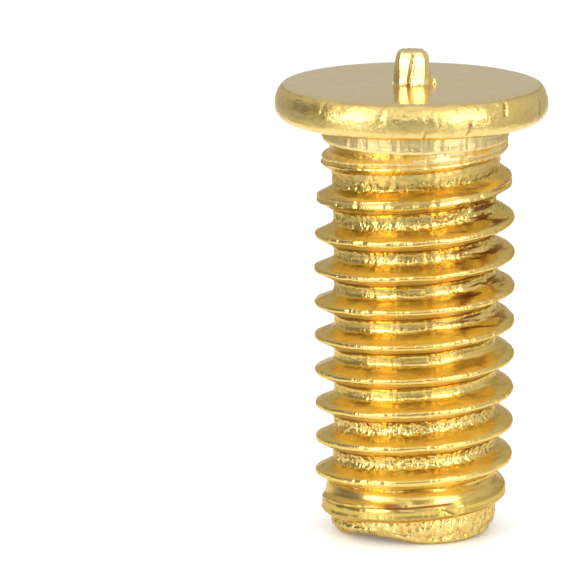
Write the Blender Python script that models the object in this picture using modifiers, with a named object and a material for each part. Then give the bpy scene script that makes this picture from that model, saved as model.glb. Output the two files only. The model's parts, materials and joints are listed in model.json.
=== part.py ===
"""Short-cycle weld stud with an M4 rolled thread, a round flange and an ignition tip.

The stud is one cold-formed brass piece. It stands on its thread end: the end face lies
in the plane z = 0, the thread axis is the Z axis, and the flange with its tip is on top.
Lengths are in metres.
"""

import math

import bmesh
import bpy

# Thread, standard M4 coarse, right-handed; its depth follows from these
THREAD_DIAMETER = 0.0040
THREAD_PITCH = 0.0007
THREAD_FLANK_ANGLE = math.radians(60.0)
CREST_WIDTH = 0.00007
ROOT_WIDTH = 0.00019
ROOT_ROUNDING = 0.00003
THREAD_START_ANGLE = math.radians(-80.0)

# Lengths along the axis
STUD_LENGTH = 0.00922
FLANGE_THICKNESS = 0.00072

# End of the thread: a chamfered point with a shallow dish inside a flat rim. The two
# depths are measured inwards from the outside of the thread.
END_DEPTH = 0.00055
CHAMFER_TOP_DEPTH = 0.00013
CHAMFER_LENGTH = 0.0005
POINT_TAPER_LENGTH = 0.0007
END_RIM_WIDTH = 0.0003
DISH_SLOPE_WIDTH = 0.0004
DISH_DEPTH = 0.00012

# Plain neck under the flange, a step inside the crests, and the thread's run-out into it
NECK_STEP = 0.000115
NECK_LENGTH = 0.00035
GROOVE_RUN_OUT = 0.00065
CREST_RUN_OUT = 0.0010

# Flange: a disc with a rounded rim, upset slightly off the thread's axis
FLANGE_DIAMETER = 0.00553
RIM_SHOULDER_DEPTH = 0.00042
RIM_SHOULDER_RUN = 0.00023
RIM_UNDER_RUN = 0.00024
HEAD_OFFSET = -0.000075

# Ignition tip on the weld face: slightly barrelled, with a rounded top edge
TIP_DIAMETER = 0.00074
TIP_END_DIAMETER = 0.00064
TIP_LENGTH = 0.00068
TIP_EDGE_RADIUS = 0.00009

# Facets, and the angle past which an edge stays sharp in the shading
THREAD_STEPS = 48
HEAD_STEPS = 64
RIM_SEGMENTS = 5
TIP_SEGMENTS = 4
EDGE_SEGMENTS = 3
SHARP_ANGLE = math.radians(32.0)

# Modelling margins: spare turns swept past each cut, the share of the flange's
# thickness that the rod reaches into, and the distances for merging and cutting
ROD_SPARE_TURNS = 2
ROD_EMBEDMENT = 0.5
MERGE_DISTANCE = 0.000001
PLANE_TOLERANCE = 0.0000001

BRASS_COLOUR = (0.83, 0.62, 0.24, 1.0)
BRASS_ROUGHNESS = 0.28

THREAD_RADIUS = THREAD_DIAMETER / 2
FLANK_RUN = (THREAD_PITCH - CREST_WIDTH - ROOT_WIDTH) / 2
ROOT_RADIUS = THREAD_RADIUS - FLANK_RUN / math.tan(THREAD_FLANK_ANGLE / 2)
GROOVE_RADIUS = ROOT_RADIUS - ROOT_ROUNDING
NECK_RADIUS = THREAD_RADIUS - NECK_STEP
END_RADIUS = THREAD_RADIUS - END_DEPTH
CHAMFER_TOP_RADIUS = THREAD_RADIUS - CHAMFER_TOP_DEPTH
FLANGE_UNDERSIDE = STUD_LENGTH - FLANGE_THICKNESS
NECK_BOTTOM = FLANGE_UNDERSIDE - NECK_LENGTH


def clear_scene():
    """Empty the file of objects and of the collections they came in."""
    for item in list(bpy.data.objects):
        bpy.data.objects.remove(item, do_unlink=True)
    for group in list(bpy.data.collections):
        bpy.data.collections.remove(group)


def new_collection(name):
    """Make a collection in the scene."""
    group = bpy.data.collections.new(name)
    bpy.context.scene.collection.children.link(group)
    return group


def brass_material():
    """Make the bare brass of the stud."""
    material = bpy.data.materials.new("brass")
    material.use_nodes = True
    shader = material.node_tree.nodes["Principled BSDF"]
    shader.inputs["Base Color"].default_value = BRASS_COLOUR
    shader.inputs["Metallic"].default_value = 1.0
    shader.inputs["Roughness"].default_value = BRASS_ROUGHNESS
    return material


def profile_object(name, points, group):
    """Make an open outline in the XZ plane from (radius, height) points."""
    mesh = bpy.data.meshes.new(name)
    outline = bmesh.new()
    verts = [outline.verts.new((radius, 0.0, height)) for radius, height in points]
    for first, second in zip(verts, verts[1:]):
        outline.edges.new((first, second))
    outline.to_mesh(mesh)
    outline.free()
    item = bpy.data.objects.new(name, mesh)
    group.objects.link(item)
    return item


def add_screw(item, steps, rise, turns):
    """Sweep an outline round the Z axis, rising by the same height each turn."""
    screw = item.modifiers.new("Sweep", "SCREW")
    screw.axis = "Z"
    screw.angle = math.tau
    screw.screw_offset = rise
    screw.iterations = turns
    screw.steps = steps
    screw.render_steps = steps
    screw.use_merge_vertices = True
    screw.merge_threshold = MERGE_DISTANCE
    screw.use_smooth_shade = True


def evaluated_mesh(item, name):
    """Return the mesh of an object with its modifiers carried out."""
    bpy.context.view_layer.update()
    evaluated = item.evaluated_get(bpy.context.evaluated_depsgraph_get())
    mesh = bpy.data.meshes.new_from_object(evaluated)
    mesh.name = name
    return mesh


def arc_points(corner, run, rise, start, end, segments):
    """Points on an elliptical arc round a centre, from one angle to another."""
    points = []
    for step in range(segments + 1):
        angle = start + (end - start) * step / segments
        radius = corner[0] + run * math.cos(angle)
        height = corner[1] + rise * math.sin(angle)
        points.append((radius, height))
    return points


def thread_pitch_profile():
    """One pitch of the thread, down from the groove above a crest to the groove below."""
    half_crest = CREST_WIDTH / 2
    flank_foot = half_crest + FLANK_RUN
    flank_middle = half_crest + FLANK_RUN / 2
    half_pitch = THREAD_PITCH / 2
    middle_radius = (THREAD_RADIUS + ROOT_RADIUS) / 2
    upper_half = [
        (GROOVE_RADIUS, half_pitch),
        (ROOT_RADIUS, flank_foot),
        (middle_radius, flank_middle),
        (THREAD_RADIUS, half_crest),
    ]
    lower_half = [(radius, -height) for radius, height in reversed(upper_half)]
    return upper_half + lower_half


def largest_radius(height):
    """The rolled blank's outside at a height: point, full thread, run-out and neck."""
    if height < CHAMFER_LENGTH:
        share = height / CHAMFER_LENGTH
        return END_RADIUS + (CHAMFER_TOP_RADIUS - END_RADIUS) * share
    if height < CHAMFER_LENGTH + POINT_TAPER_LENGTH:
        share = (height - CHAMFER_LENGTH) / POINT_TAPER_LENGTH
        return CHAMFER_TOP_RADIUS + (THREAD_RADIUS - CHAMFER_TOP_RADIUS) * share
    share = min(max((NECK_BOTTOM - height) / CREST_RUN_OUT, 0.0), 1.0)
    return NECK_RADIUS + (THREAD_RADIUS - NECK_RADIUS) * share ** 2


def smallest_radius(height):
    """The groove's floor at a height: it rises to the neck along the run-out."""
    share = min(max((NECK_BOTTOM - height) / GROOVE_RUN_OUT, 0.0), 1.0)
    return NECK_RADIUS + (GROOVE_RADIUS - NECK_RADIUS) * share


def shape_rod(shape):
    """Hold each point of the swept thread between the groove's floor and the blank."""
    for vert in shape.verts:
        radius = math.hypot(vert.co.x, vert.co.y)
        height = vert.co.z
        target = max(radius, smallest_radius(height))
        target = min(target, largest_radius(height))
        vert.co.x *= target / radius
        vert.co.y *= target / radius


def cut_level(shape, height, keep_above):
    """Cut an open rod level, keep one side of it and close the cut with one face."""
    parts = list(shape.verts) + list(shape.edges) + list(shape.faces)
    cut = bmesh.ops.bisect_plane(
        shape,
        geom=parts,
        dist=PLANE_TOLERANCE,
        plane_co=(0.0, 0.0, height),
        plane_no=(0.0, 0.0, 1.0),
        clear_inner=keep_above,
        clear_outer=not keep_above,
    )
    rim = [part for part in cut["geom_cut"] if isinstance(part, bmesh.types.BMEdge)]
    return bmesh.ops.contextual_create(shape, geom=rim)["faces"][0]


def dish_end(shape, end_face):
    """Press the shallow dish into the end face, inside its flat rim."""
    bmesh.ops.inset_individual(shape, faces=[end_face], thickness=END_RIM_WIDTH)
    bmesh.ops.inset_individual(
        shape, faces=[end_face], thickness=DISH_SLOPE_WIDTH, depth=-DISH_DEPTH
    )


def make_threaded_rod(name, parts, guides):
    """Make the rod with its thread, chamfered point, run-out and neck."""
    rod_top = FLANGE_UNDERSIDE + FLANGE_THICKNESS * ROD_EMBEDMENT
    turns = math.ceil(rod_top / THREAD_PITCH) + 2 * ROD_SPARE_TURNS
    ridge = profile_object("thread_ridge", thread_pitch_profile(), guides)
    add_screw(ridge, THREAD_STEPS, THREAD_PITCH, turns)
    ridge.location.z = -ROD_SPARE_TURNS * THREAD_PITCH
    ridge.rotation_euler.z = THREAD_START_ANGLE
    ridge.hide_render = True
    ridge.display_type = "WIRE"

    mesh = evaluated_mesh(ridge, name)
    mesh.transform(ridge.matrix_world)
    shape = bmesh.new()
    shape.from_mesh(mesh)
    bmesh.ops.remove_doubles(shape, verts=shape.verts, dist=MERGE_DISTANCE)
    shape_rod(shape)
    cut_level(shape, rod_top, keep_above=False)
    end_face = cut_level(shape, 0.0, keep_above=True)
    dish_end(shape, end_face)
    bmesh.ops.recalc_face_normals(shape, faces=shape.faces)
    shape.to_mesh(mesh)
    shape.free()

    rod = bpy.data.objects.new(name, mesh)
    parts.objects.link(rod)
    return rod


def head_profile():
    """Outline of the tip and the flange, from the tip's top down to the underside."""
    tip_top = STUD_LENGTH + TIP_LENGTH
    tip_end_radius = TIP_END_DIAMETER / 2
    tip_radius = TIP_DIAMETER / 2
    edge_centre = (tip_end_radius - TIP_EDGE_RADIUS, tip_top - TIP_EDGE_RADIUS)
    points = [(0.0, tip_top)]
    points += arc_points(
        edge_centre, TIP_EDGE_RADIUS, TIP_EDGE_RADIUS, math.pi / 2, 0.0, EDGE_SEGMENTS
    )
    barrel_foot = (tip_end_radius, STUD_LENGTH)
    barrel = arc_points(
        barrel_foot,
        tip_radius - tip_end_radius,
        TIP_LENGTH - TIP_EDGE_RADIUS,
        math.pi / 2,
        0.0,
        TIP_SEGMENTS,
    )
    points += barrel[1:]

    flange_radius = FLANGE_DIAMETER / 2
    widest = STUD_LENGTH - RIM_SHOULDER_DEPTH
    shoulder = arc_points(
        (flange_radius - RIM_SHOULDER_RUN, widest),
        RIM_SHOULDER_RUN,
        RIM_SHOULDER_DEPTH,
        math.pi / 2,
        0.0,
        RIM_SEGMENTS,
    )
    under = arc_points(
        (flange_radius - RIM_UNDER_RUN, widest),
        RIM_UNDER_RUN,
        FLANGE_THICKNESS - RIM_SHOULDER_DEPTH,
        0.0,
        -math.pi / 2,
        RIM_SEGMENTS,
    )
    points += shoulder + under[1:]
    points.append((0.0, FLANGE_UNDERSIDE))
    return points


def make_head(guides):
    """Make the turned flange with its tip, as the body that is joined to the rod."""
    head = profile_object("flange_and_tip", head_profile(), guides)
    add_screw(head, HEAD_STEPS, 0.0, 1)
    head.location.x = HEAD_OFFSET
    head.hide_render = True
    head.display_type = "WIRE"
    return head


def make_stud():
    """Build the whole stud as one closed brass body."""
    parts = new_collection("weld_stud")
    guides = new_collection("construction_shapes")
    stud = make_threaded_rod("weld_stud", parts, guides)
    head = make_head(guides)

    join = stud.modifiers.new("Join flange and tip", "BOOLEAN")
    join.operation = "UNION"
    join.solver = "EXACT"
    join.object = head
    stud.data = evaluated_mesh(stud, "weld_stud")
    stud.modifiers.clear()

    stud.data.materials.clear()
    stud.data.materials.append(brass_material())
    stud.data.shade_smooth()
    stud.data.set_sharp_from_angle(angle=SHARP_ANGLE)
    return stud


clear_scene()
make_stud()
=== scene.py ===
"""Dressed short-cycle weld stud: rolled brass thread, upset flange and ignition tip.

The stud stands on its cropped thread end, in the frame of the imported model: the end lies
in the plane z = 0 and the thread axis is the Z axis. Sizes and places in this script are
millimetres, and MM turns them into Blender's metres where they reach Blender.
"""

import json
import logging
import math
from collections.abc import Iterator, Sequence
from contextlib import contextmanager
from dataclasses import dataclass
from enum import Enum
from functools import reduce
from itertools import pairwise

import bpy
import numpy as np
from mathutils import Euler, Matrix, Vector, noise

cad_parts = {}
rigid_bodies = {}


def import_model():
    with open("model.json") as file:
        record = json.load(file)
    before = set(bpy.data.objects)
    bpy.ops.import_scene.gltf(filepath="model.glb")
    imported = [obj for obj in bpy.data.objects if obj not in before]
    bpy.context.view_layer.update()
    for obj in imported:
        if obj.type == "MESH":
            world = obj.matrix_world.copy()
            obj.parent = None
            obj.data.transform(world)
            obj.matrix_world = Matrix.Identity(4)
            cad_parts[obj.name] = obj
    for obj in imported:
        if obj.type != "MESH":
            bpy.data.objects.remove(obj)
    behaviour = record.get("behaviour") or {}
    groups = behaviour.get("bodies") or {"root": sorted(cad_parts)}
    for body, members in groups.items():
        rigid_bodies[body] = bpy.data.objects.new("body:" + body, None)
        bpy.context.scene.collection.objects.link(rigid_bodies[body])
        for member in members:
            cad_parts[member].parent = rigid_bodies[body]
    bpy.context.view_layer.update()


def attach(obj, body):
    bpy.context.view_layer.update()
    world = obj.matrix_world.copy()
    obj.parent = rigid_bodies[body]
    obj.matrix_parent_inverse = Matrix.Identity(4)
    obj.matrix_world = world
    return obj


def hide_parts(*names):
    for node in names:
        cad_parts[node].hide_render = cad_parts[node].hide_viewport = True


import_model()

LOG = logging.getLogger("weld_stud")
MM = 0.001
MERGE_DISTANCE = 0.001 * MM
CUT_TOLERANCE = 0.0001 * MM
NODE = "weld_stud"

# An outline is radius and height, point by point. A span is the value where something has
# gone and the value where it is full. A place is a middle and the distance at which
# something has gone
Outline = list[tuple[float, float]]
Span = tuple[float, float]
Place = tuple[float, float]
Colour = tuple[float, float, float, float]
Value = bpy.types.NodeSocket | float | tuple[float, ...]
FLOAT, VECTOR, COLOUR = "NodeSocketFloat", "NodeSocketVector", "NodeSocketColor"


class Zone(Enum):
    """Surfaces of the stud with a finish of their own, numbered as its material slots."""

    ROLLED_THREAD = 0
    UPSET_HEAD = 1
    CROPPED_END = 2


class Keep(Enum):
    """The side of a level cut that stays."""

    ABOVE = "above"
    BELOW = "below"


class Quality(Enum):
    """Qualities of a finish that its surfaces add to; each is a field of Surface."""

    WARMTH = "warmth"
    BARE = "bare"
    TARNISH = "tarnish"
    STAIN = "stain"
    ROUGH = "rough"


# Bench work: the few operations that every piece is made with


def deselect_all() -> None:
    """Leave nothing selected."""
    for item in bpy.context.view_layer.objects:
        item.select_set(False)


def take_up(item: bpy.types.Object) -> None:
    """Make one object the only selected and the active one.

    Args:
        item: The object.
    """
    deselect_all()
    item.select_set(True)
    bpy.context.view_layer.objects.active = item


@contextmanager
def edit_mode(item: bpy.types.Object) -> Iterator[None]:
    """Work on one object in edit mode and come back to object mode.

    Args:
        item: The object to edit.
    """
    take_up(item)
    bpy.ops.object.mode_set(mode="EDIT")
    bpy.ops.mesh.select_mode(type="VERT")
    try:
        yield
    finally:
        bpy.ops.object.mode_set(mode="OBJECT")


def read_points(item: bpy.types.Object) -> np.ndarray:
    """Read a mesh's points.

    Args:
        item: A mesh object at the origin.

    Returns:
        One row of x, y and z in millimetres for each vertex.
    """
    points = np.empty(len(item.data.vertices) * 3, np.float32)
    item.data.vertices.foreach_get("co", points)
    return points.reshape(-1, 3).astype(np.float64) / MM


def write_points(item: bpy.types.Object, points: np.ndarray) -> None:
    """Put a mesh's points where a shaping step has moved them.

    Args:
        item: The mesh object.
        points: One row of x, y and z in millimetres for each vertex.
    """
    item.data.vertices.foreach_set("co", (points * MM).astype(np.float32).ravel())
    item.data.update()


def trace_outline(name: str, outline: Outline) -> bpy.types.Object:
    """Trace an open outline in the XZ plane by extruding one vertex from point to point.

    Args:
        name: Name of the new object.
        outline: Radius and height of each point, in millimetres.

    Returns:
        The traced outline.
    """
    deselect_all()
    first_radius, first_height = outline[0]
    bpy.ops.mesh.primitive_plane_add(
        size=MM, location=(first_radius * MM, 0.0, first_height * MM)
    )
    item = bpy.context.object
    item.name = item.data.name = name
    bpy.ops.object.transform_apply(location=True, rotation=True, scale=True)
    with edit_mode(item):
        bpy.ops.mesh.select_all(action="SELECT")
        bpy.ops.mesh.merge(type="CENTER")
        for (radius, height), (next_radius, next_height) in pairwise(outline):
            step = ((next_radius - radius) * MM, 0.0, (next_height - height) * MM)
            bpy.ops.mesh.extrude_region_move(TRANSFORM_OT_translate={"value": step})
    return item


def screw_sweep(item: bpy.types.Object, steps: int, rise: float, turns: int) -> None:
    """Sweep an outline round the Z axis and merge each turn with the next.

    Args:
        item: The outline.
        steps: Faces in one turn.
        rise: Height gained in one turn, in millimetres.
        turns: Number of turns.
    """
    take_up(item)
    sweep = item.modifiers.new("sweep", "SCREW")
    sweep.axis = "Z"
    sweep.angle = math.tau
    sweep.screw_offset = rise * MM
    sweep.iterations = turns
    sweep.steps = sweep.render_steps = steps
    sweep.merge_threshold = MERGE_DISTANCE
    bpy.ops.object.modifier_apply(modifier=sweep.name)
    with edit_mode(item):
        bpy.ops.mesh.select_all(action="SELECT")
        bpy.ops.mesh.remove_doubles(threshold=MERGE_DISTANCE)


def cut_level(item: bpy.types.Object, height: float, keep: Keep) -> None:
    """Cut a piece level, drop what lies on the other side and leave the cut open.

    Args:
        item: The piece.
        height: Height of the cut, in millimetres.
        keep: The side that stays.
    """
    with edit_mode(item):
        bpy.ops.mesh.select_all(action="SELECT")
        bpy.ops.mesh.bisect(
            plane_co=(0.0, 0.0, height * MM),
            plane_no=(0.0, 0.0, 1.0),
            clear_inner=keep is Keep.ABOVE,
            clear_outer=keep is Keep.BELOW,
            threshold=CUT_TOLERANCE,
        )
        bpy.ops.mesh.select_all(action="SELECT")
        bpy.ops.mesh.delete_loose(use_verts=True, use_edges=True)


def bridge_openings(item: bpy.types.Object, side: Keep, height: float) -> None:
    """Close the gap between the two openings that lie on one side of a level.

    Args:
        item: The piece.
        side: The side on which the openings lie.
        height: The level, in millimetres.
    """
    with edit_mode(item):
        bpy.ops.mesh.select_mode(type="EDGE")
        bpy.ops.mesh.select_all(action="DESELECT")
        bpy.ops.mesh.select_non_manifold(
            extend=False, use_wire=False, use_multi_face=False, use_non_contiguous=False
        )
        bpy.ops.object.mode_set(mode="OBJECT")
        heights = read_points(item)[:, 2]
        ends = np.empty(len(item.data.edges) * 2, np.int32)
        item.data.edges.foreach_get("vertices", ends)
        picked = np.empty(len(item.data.edges), bool)
        item.data.edges.foreach_get("select", picked)
        above = heights[ends[::2]] > height
        picked &= above if side is Keep.ABOVE else ~above
        item.data.edges.foreach_set("select", picked)
        bpy.ops.object.mode_set(mode="EDIT")
        bpy.ops.mesh.bridge_edge_loops()


def arc(
    centre: tuple[float, float], run: float, rise: float, start: float, end: float, count: int
) -> Outline:
    """Points of an elliptical arc in an outline.

    Args:
        centre: Radius and height of the arc's centre.
        run: Half width of the ellipse.
        rise: Half height of the ellipse.
        start: First angle, in degrees.
        end: Last angle, in degrees.
        count: Number of segments.

    Returns:
        The arc's points, from the first angle to the last.
    """
    angles = np.radians(np.linspace(start, end, count + 1))
    radii = centre[0] + run * np.cos(angles)
    heights = centre[1] + rise * np.sin(angles)
    return list(zip(radii.tolist(), heights.tolist()))


def smooth_step(low: float, high: float, values: np.ndarray) -> np.ndarray:
    """Ease from 0 at one value to 1 at another.

    Args:
        low: Where the result is 0.
        high: Where the result is 1.
        values: The values to ease.

    Returns:
        The eased share for each value.
    """
    share = np.clip((values - low) / (high - low), 0.0, 1.0)
    return share * share * (3.0 - 2.0 * share)


def bump_at(values: np.ndarray, centre: float, width: float) -> np.ndarray:
    """A rounded bump that is 1 at its centre and fades to 0 at its width.

    Args:
        values: Where to read the bump.
        centre: Place of its top.
        width: Distance from the top to its foot.

    Returns:
        The height of the bump at each value.
    """
    return 1.0 - smooth_step(0.0, width, np.abs(values - centre))


def turn_gap(angles: np.ndarray, centre: float) -> np.ndarray:
    """Angle from a direction, the short way round.

    Args:
        angles: Angles in degrees.
        centre: The direction, in degrees.

    Returns:
        Each angle's distance past the direction, from -180 to 180 degrees.
    """
    return (angles - centre + 180.0) % 360.0 - 180.0


def window(values: np.ndarray, opening: Span, closing: Span) -> np.ndarray:
    """Ease from 0 to 1 over one span of values and back to 0 over another."""
    return smooth_step(*opening, values) * smooth_step(*closing, values)


def facing(angles: np.ndarray, centre: float, fade: Span) -> np.ndarray:
    """Share of a mark that faces one way and fades out on both sides.

    Args:
        angles: Angles in degrees.
        centre: The direction that the mark faces, in degrees.
        fade: Gap from that direction where the mark has gone, and where it is full.

    Returns:
        The mark's share at each angle.
    """
    return smooth_step(*fade, np.abs(turn_gap(angles, centre)))


@dataclass(frozen=True)
class Unevenness:
    """Smooth swellings of one size along each axis; the seed sets one apart from another."""

    size: tuple[float, float, float]
    seed: float

    def read(self, points: np.ndarray) -> np.ndarray:
        """Read the swelling at each point.

        Args:
            points: One row of three coordinates for each reading.

        Returns:
            A value from about -1 to 1 for each row.
        """
        places = points / np.array(self.size) + self.seed
        return np.array([noise.noise(Vector(place)) for place in places])


# The rolled thread


@dataclass(frozen=True)
class ThreadPlaces:
    """Where the points of the shank lie on its thread.

    Angles are in degrees and -90 faces the camera. An offset is the height above the
    nearest crest, and a crest's number rises by one with each turn.
    """

    angle: np.ndarray
    crest: np.ndarray
    offset: np.ndarray
    radius: np.ndarray
    height: np.ndarray


@dataclass
class ThreadedShank:
    """The shank as rolled: cropped end, short land, full thread, run-out and neck.

    A span gives the value where something has gone or starts, and the value where it is
    full. A place gives a middle and the distance to where the mark has gone.
    """

    # The thread's form and its place on the axis
    pitch: float = 0.70
    crest_radius: float = 2.012
    crest_width: float = 0.01
    crest_rounding: float = 0.07
    flank_angle: float = 25.5
    root_radius: float = 1.632
    root_rounding: float = 0.13
    flank_points: int = 2
    arc_points: int = 4
    steps: int = 260
    start_turn: float = 0.24
    spare_turns: int = 2
    top: float = 8.46

    # The largest radius that the blank filled, and the smallest that the dies reached
    blank_heights: tuple[float, ...] = (1.06, 1.20, 6.40, 6.85, 7.19, 7.50, 7.85)
    blank_radii: tuple[float, ...] = (1.88, 2.012, 2.012, 1.985, 1.968, 1.90, 1.885)
    groove_heights: tuple[float, ...] = (0.85, 1.03, 1.22, 6.50, 7.16, 7.50, 7.80, 7.95, 8.06)
    groove_radii: tuple[float, ...] = (1.80, 1.755, 1.60, 1.60, 1.667, 1.72, 1.726, 1.86, 1.885)

    # The step from the land down to the lip, deeper on the left, and the lip itself
    land_crest: int = 1
    step_limit: float = 0.9
    land_step: float = -0.125
    step_drop: float = 0.045
    left_step_drop: float = 0.13
    left_step: tuple[float, Span] = (-168.0, (50.0, 20.0))
    lip_heights: tuple[float, ...] = (0.0, 0.05, 0.12, 0.20, 0.35)
    lip_radii: tuple[float, ...] = (1.50, 1.56, 1.60, 1.63, 1.655)

    # The end: outline of its dish, and where the crop pulled its edge up, how wide and high
    dish: tuple[tuple[float, float], ...] = (
        (1.44, 0.0),
        (1.35, 0.0),
        (1.20, 0.0),
        (1.00, 0.05),
        (0.80, 0.11),
        (0.50, 0.12),
        (0.0, 0.12),
    )
    rim_pulls: tuple[tuple[float, float, float], ...] = (
        (-124.0, 52.0, 0.15),
        (-8.0, 45.0, 0.06),
        (80.0, 60.0, 0.03),
    )
    pulled_radii: Span = (0.7, 1.3)
    pulled_height: float = 0.45

    # Crests: how full each turn is, swellings, nicks across and a seam along the last ones
    crest_reach: float = 0.13
    crest_radii: Span = (1.80, 1.86)
    crest_end: Span = (8.0, 7.7)
    full_heights: tuple[float, ...] = (1.0, 2.5, 3.5, 5.5, 6.3, 7.0)
    full_rises: tuple[float, ...] = (-0.008, 0.0, 0.022, 0.028, 0.018, -0.008)
    swell: Unevenness = Unevenness((0.9, 0.9, 0.5), 11.3)
    swell_height: float = 0.012
    nicks: Unevenness = Unevenness((0.085, 0.085, 0.5), 4.7)
    nick_levels: Span = (0.15, 0.55)
    nick_heights: Span = (0.8, 1.2)
    nick_depth: float = 0.026
    seam_width: float = 0.04
    seam_depth: float = 0.002
    open_seam_depth: float = 0.03
    open_seam_turns: Span = (9.6, 10.3)

    # Roots: coarse and fine flakes, and how torn the metal is at each height
    root_gaps: Span = (0.13, 0.24)
    root_radii: Span = (1.78, 1.68)
    torn_heights: tuple[float, ...] = (0.0, 0.5, 0.8, 1.2, 1.5, 2.6, 3.0, 4.5, 5.0, 6.5, 8.2)
    torn_shares: tuple[float, ...] = (0.6, 0.5, 0.15, 0.2, 1.0, 0.7, 0.15, 0.2, 0.6, 1.0, 0.9)
    flakes: Unevenness = Unevenness((0.09, 0.09, 0.14), 21.9)
    fine_flakes: Unevenness = Unevenness((0.05, 0.05, 0.08), 9.1)
    coarse_share: float = 0.6
    flake_height: float = 0.038

    # Chatter ticks: their place on the flank, their run, and the depth on each crest's flank
    tick_place: Place = (-0.2, 0.13)
    tick_run: tuple[Span, Span] = ((-62.0, -52.0), (-8.0, -18.0))
    tick_depths: tuple[tuple[int, float], ...] = ((10, 0.02), (9, 0.008))
    tick_angle: float = 5.6
    tick_slant: float = 0.35

    # The lip: torn lumps, its flare on the left, and the bead and groove round its front
    torn_lip: Unevenness = Unevenness((0.07, 0.07, 0.4), 33.1)
    lip_lumps: Unevenness = Unevenness((0.15, 0.15, 0.2), 8.3)
    lump_share: float = 0.6
    tear_top: Span = (0.62, 0.45)
    tear_height: float = 0.022
    lip_left: tuple[float, Span] = (-165.0, (60.0, 25.0))
    flare_top: Span = (0.30, 0.12)
    flare_rise: float = 0.05
    lip_front: tuple[float, Span] = (-62.0, (60.0, 35.0))
    front_bead: Place = (0.07, 0.07)
    front_bead_rise: float = 0.025
    front_groove: Place = (0.17, 0.05)
    front_groove_depth: float = 0.02

    # The land: its lapped and beaded edge on the left, the fold along it and a nick
    lap: tuple[float, Span] = (-138.0, (50.0, 30.0))
    lap_place: Place = (0.20, 0.09)
    lap_rise: float = 0.10
    beads: Unevenness = Unevenness((0.08, 0.08, 0.3), 27.5)
    bead_place: Place = (0.17, 0.09)
    bead_rise: float = 0.02
    fold_angles: tuple[float, ...] = (-117.0, -102.0, -90.0, -68.0)
    fold_offsets: tuple[float, ...] = (0.24, 0.215, 0.15, 0.14)
    fold_run: tuple[Span, Span] = ((-120.0, -110.0), (-58.0, -66.0))
    fold_width: float = 0.03
    fold_depth: float = 0.03
    nick_angle: float = -67.0
    nick_slant: float = 60.0
    nick_width: float = 2.2
    nick_gaps: Span = (0.16, 0.08)
    land_nick_depth: float = 0.035

    # The neck: drawn lines, deepest in a band below the flange, and a dent at its front
    neck_start: Span = (7.6, 7.95)
    drawn_lines: Unevenness = Unevenness((0.09, 0.09, 1.5), 14.7)
    drawn_depth: float = 0.008
    drawn_band: Place = (8.14, 0.18)
    drawn_band_depth: float = 0.022
    dent_angle: Place = (-91.5, 4.0)
    dent_height: Place = (8.22, 0.07)
    dent_depth: float = 0.02

    # The last turns run up a little, and every crest wavers
    last_turn_rise: float = 0.16
    last_turns: tuple[Span, Span] = ((6.1, 7.7), (8.3, 7.85))
    waver: Unevenness = Unevenness((0.45, 0.45, 0.6), 41.5)
    waver_height: float = 0.02
    waver_run: tuple[Span, Span] = ((0.9, 1.2), (8.2, 7.6))

    def half_ridge(self) -> Outline:
        """One side of the ridge, from the crest's edge to the middle of the groove.

        Returns:
            Radius and distance from the crest's middle for each point.
        """
        turns = np.radians(np.linspace(0.0, 90.0 - self.flank_angle, self.arc_points + 1))
        points = [
            (
                self.crest_radius - self.crest_rounding * (1.0 - math.cos(turn)),
                self.crest_width / 2 + self.crest_rounding * math.sin(turn),
            )
            for turn in turns
        ]
        start_radius, start = points[-1]
        foot_radius = self.root_radius + self.root_rounding * (1.0 - math.cos(turns[-1]))
        foot = start + (start_radius - foot_radius) * math.tan(math.radians(self.flank_angle))
        for share in np.linspace(0.0, 1.0, self.flank_points + 1)[1:]:
            radius = start_radius + (foot_radius - start_radius) * share
            points.append((float(radius), float(start + (foot - start) * share)))
        root_start = foot + self.root_rounding * math.sin(turns[-1])
        for turn in reversed(turns[:-1]):
            radius = self.root_radius + self.root_rounding * (1.0 - math.cos(turn))
            points.append((radius, root_start - self.root_rounding * math.sin(turn)))
        points.append((self.root_radius, self.pitch / 2))
        return points

    def ridge_outline(self) -> Outline:
        """One pitch of the thread with rounded crest and root, groove to groove.

        Returns:
            Radius and height of each point, downwards.
        """
        half = self.half_ridge()
        middle = [(self.crest_radius, 0.0)]
        return half[::-1] + middle + [(radius, -height) for radius, height in half]

    def build(self) -> bpy.types.Object:
        """Model the shank.

        Returns:
            The shank, open at both ends.
        """
        shank = trace_outline("threaded_shank", self.ridge_outline())
        turns = math.ceil(self.top / self.pitch) + 2 * self.spare_turns
        screw_sweep(shank, self.steps, self.pitch, turns)
        take_up(shank)
        bpy.ops.transform.translate(
            value=(0.0, 0.0, (self.start_turn - self.spare_turns) * self.pitch * MM)
        )
        bpy.ops.object.transform_apply(location=True, rotation=True, scale=True)
        cut_level(shank, self.top, Keep.BELOW)
        cut_level(shank, 0.0, Keep.ABOVE)
        self.hold_to_blank(shank)
        self.work_metal(shank)
        self.lift_last_turns(shank)
        self.lift_rim(shank)
        return shank

    def end_face(self) -> bpy.types.Object:
        """Model the dished face that the crop left on the end.

        Returns:
            The face, open where the shank joins its rim.
        """
        face = trace_outline("cropped_face", list(self.dish))
        screw_sweep(face, self.steps, 0.0, 1)
        self.lift_rim(face)
        return face

    def places(self, points: np.ndarray) -> ThreadPlaces:
        """Find each point's place along the thread.

        Args:
            points: The shank's points.

        Returns:
            The places, in the order of the points.
        """
        angles = np.degrees(np.arctan2(points[:, 1], points[:, 0]))
        turns = points[:, 2] / self.pitch - self.start_turn - angles / 360.0
        crests = np.round(turns)
        return ThreadPlaces(
            angle=angles,
            crest=crests,
            offset=(turns - crests) * self.pitch,
            radius=np.hypot(points[:, 0], points[:, 1]),
            height=points[:, 2],
        )

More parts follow.
